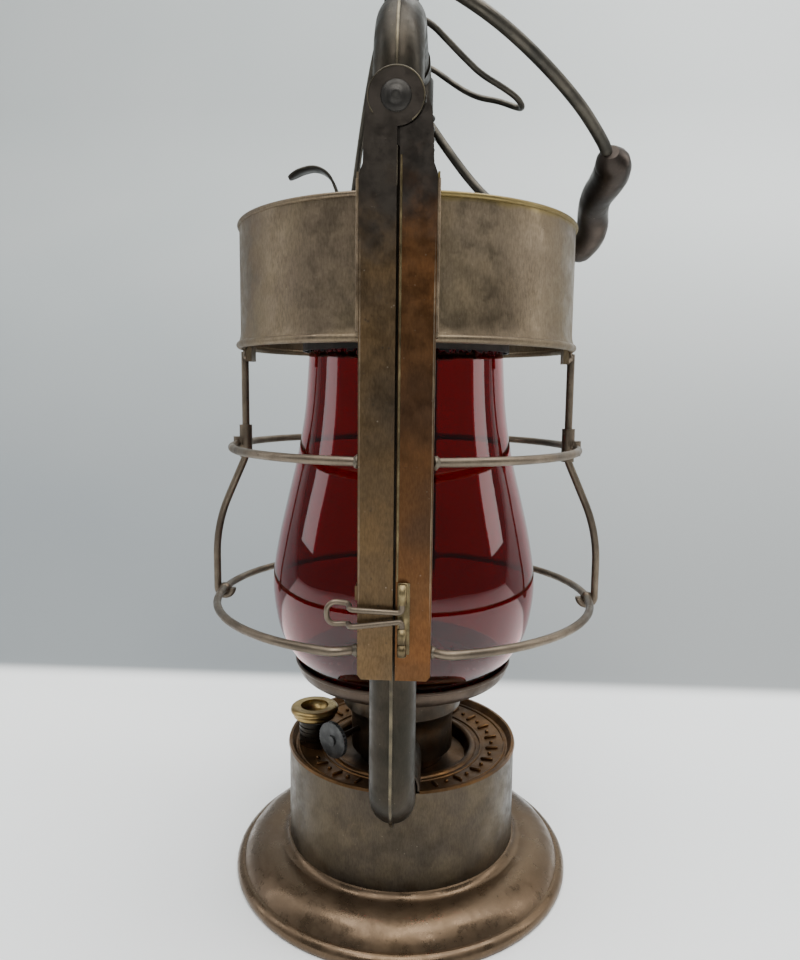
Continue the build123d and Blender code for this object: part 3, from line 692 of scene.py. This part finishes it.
def make_latch_hinge():
    """Rolled knuckles and leaf of the latch, in place of the plain block."""
    x, y = 4.0, -85.1
    form = bmesh.new()
    for low, high in KNUCKLES:
        place = Matrix.Translation(Vector((x, y, (low + high) / 2)) * MM)
        bmesh.ops.create_cone(form, cap_ends=True, segments=28, radius1=KNUCKLE_R * MM,
                              radius2=KNUCKLE_R * MM, depth=(high - low) * MM, matrix=place)
    leaf = Matrix.Translation(Vector((x + 0.5, -83.08, 144.3)) * MM)
    scale = Matrix.Diagonal((*(Vector(LEAF_SIZE) * MM), 1.0))
    bmesh.ops.create_cube(form, size=1.0, matrix=leaf @ scale)
    bmesh.ops.bevel(form, geom=form.edges[:], offset=0.18 * MM, segments=2, affect="EDGES")
    mesh = bpy.data.meshes.new("latch_hinge")
    form.to_mesh(mesh)
    form.free()
    add_piece("latch_hinge", mesh, BRASS_LEAF, "root", "latch_bracket")


PIVOT_Z = 323.9
LUG_R = 9.55
# Radius of the rivet, and distance from the lantern's middle plane.
RIVET_PROFILE = [(0.0, 84.75), (1.5, 84.7), (1.9, 84.35), (2.0, 83.95), (3.5, 83.85),
                 (4.7, 83.45), (5.3, 82.78), (5.3, 82.55), (2.9, 82.5), (2.9, 79.0),
                 (0.0, 79.0)]


def make_hinges():
    """Stepped rivet head and the pale rim of the lug, at each end of the guard's hinge."""
    for side_name, side in SIDES.items():
        name = f"rivet_head_{side_name}"
        mesh = turned_mesh(name, RIVET_PROFILE, 48)
        turn = Matrix.Rotation(math.radians(-90 * side), 4, "X")
        mesh.transform(Matrix.Translation((0, 0, PIVOT_Z * MM)) @ turn)
        add_piece(name, mesh, RIVET, "root", f"hinge_rivet_{side_name}")
        rim = [(LUG_R * math.cos(math.radians(d)), side * 82.72,
                PIVOT_Z + LUG_R * math.sin(math.radians(d))) for d in range(-55, 216, 10)]
        name = f"lug_rim_{side_name}"
        add_piece(name, round_curve(name, rim, 0.28), SEAM, "guard_left")


THUMB_LINE = [(-24.0, 0, 287.4), (-28.4, 0, 301.0), (-31.6, 0, 313.5), (-35.2, 0, 320.6),
              (-41.0, 0, 323.6), (-47.5, 0, 322.6), (-53.4, 0, 319.6)]
THUMB_HALF_WIDTH, THUMB_HALF_THICK = 4.5, 0.6
# A section with rounded corners: shares of the half width and of the half thickness.
THUMB_SECTION = [(-1, -0.6), (-1, 0.6), (-0.9, 1), (0.9, 1), (1, 0.6), (1, -0.6), (0.9, -1),
                 (-0.9, -1)]


def make_thumb_tab():
    """Bent strip with a rounded end, on the dome."""
    line = smooth_line(THUMB_LINE)
    last = len(line) - 1
    form = bmesh.new()
    rows = []
    for n, point in enumerate(line):
        ahead = line[min(n + 1, last)] - line[max(n - 1, 0)]
        up = Vector((-ahead.z, 0, ahead.x)).normalized() * THUMB_HALF_THICK
        to_end = min((last - n) / 7, 1.0)
        wide = THUMB_HALF_WIDTH * math.sqrt(max(1 - (1 - to_end) ** 2, 0.05))
        rows.append([form.verts.new((point + up * k + Vector((0, j * wide, 0))) * MM)
                     for j, k in THUMB_SECTION])
    for a, b in zip(rows, rows[1:]):
        for n in range(8):
            form.faces.new((a[n], a[(n + 1) % 8], b[(n + 1) % 8], b[n]))
    form.faces.new(rows[0])
    form.faces.new(reversed(rows[-1]))
    bmesh.ops.recalc_face_normals(form, faces=form.faces[:])
    mesh = bpy.data.meshes.new("thumb_strip")
    form.to_mesh(mesh)
    form.free()
    add_piece("thumb_strip", mesh, DARK_WIRE, "dome", "thumb_tab")


make_camera()
make_stage()
make_lights()
dress_cad()
make_globe()
make_handles()
make_hems()
make_fount_marks()
make_seams()
make_solder()
make_latch_hinge()
make_hinges()
make_thumb_tab()
